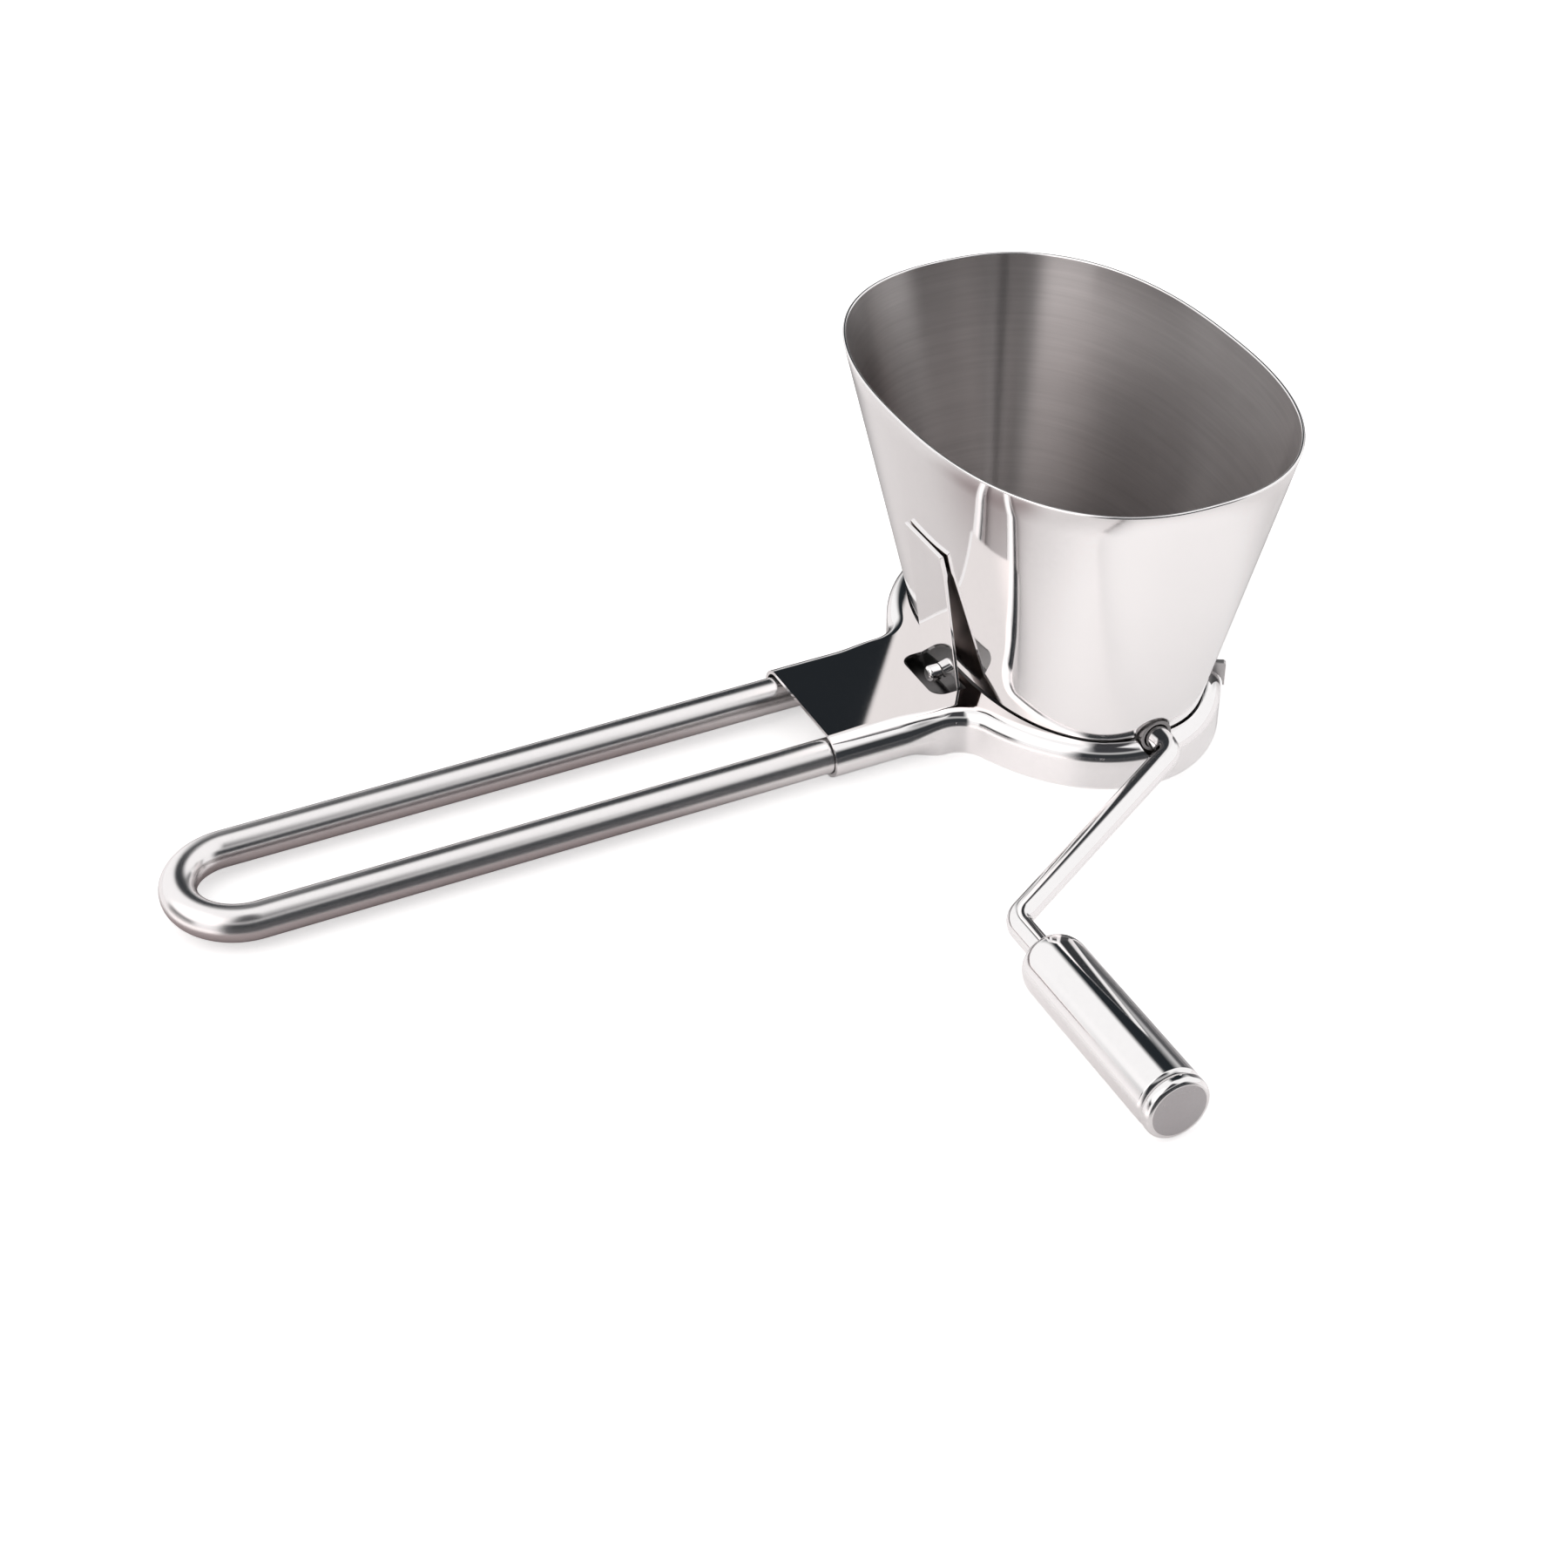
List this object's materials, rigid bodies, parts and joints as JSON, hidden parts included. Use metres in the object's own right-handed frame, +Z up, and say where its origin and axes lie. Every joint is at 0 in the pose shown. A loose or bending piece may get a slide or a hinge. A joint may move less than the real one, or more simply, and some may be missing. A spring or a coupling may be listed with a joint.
{
  "type": "flour sifter",
  "caption": "Hand-held flour sifter: oval tapered hopper on a keyhole base with a loop handle, and a bent crank with a turning grip that sweeps a half-round sieve.",
  "frame": {"origin": "middle of the underside of the whole object's box at rest, in the plane that the base stands on", "axes": "handle towards -X, crank shaft along Y with the crank at -Y, Z up"},
  "size_m": [0.1898, 0.1552, 0.0584],
  "materials": {
    "polished_steel": "mirror-polished stainless steel",
    "satin_steel": "satin stainless steel"
  },
  "bodies": {
    "base": {"base_frame": "polished_steel", "handle_loop": "polished_steel", "locating_lug_front": "satin_steel", "locating_lug_rear": "satin_steel", "sieve_retainer": "satin_steel", "sieve_pan": "satin_steel", "sieve_mesh": "satin_steel", "trough_end_front": "satin_steel", "trough_end_rear": "satin_steel", "shaft_bush_front": "satin_steel", "shaft_bush_rear": "satin_steel"},
    "hopper": {"hopper": "polished_steel"},
    "latch": {"latch_tongue": "polished_steel", "catch_pin": "polished_steel"},
    "crank": {"crank_wire": "polished_steel", "agitator": "satin_steel", "thrust_washer_front": "satin_steel", "thrust_washer_rear": "satin_steel", "shaft_cap": "polished_steel", "spindle_washer": "satin_steel"},
    "grip": {"crank_grip": "polished_steel", "grip_end_cap": "satin_steel"}
  },
  "joints": [
    {"name": "hopper_lift", "type": "slide", "parent": "base", "child": "hopper", "axis": [0, 0, 1], "range_m": [0, 0.06]},
    {"name": "latch_flex", "type": "hinge", "parent": "hopper", "child": "latch", "pos_m": [0.03725, 0.03103, 0.0332], "axis": [0, 1, 0], "range_deg": [-2.5, 0], "stiffness_Nm_per_rad": 0.2},
    {"name": "crank_turn", "type": "hinge", "parent": "base", "child": "crank", "pos_m": [0.06345, 0.03263, 0.0084], "axis": [0, 1, 0], "continuous": true},
    {"name": "grip_turn", "type": "hinge", "parent": "crank", "child": "grip", "pos_m": [0.02083, 0.03263, 0.0057], "axis": [0, 1, 0], "continuous": true}
  ]
}
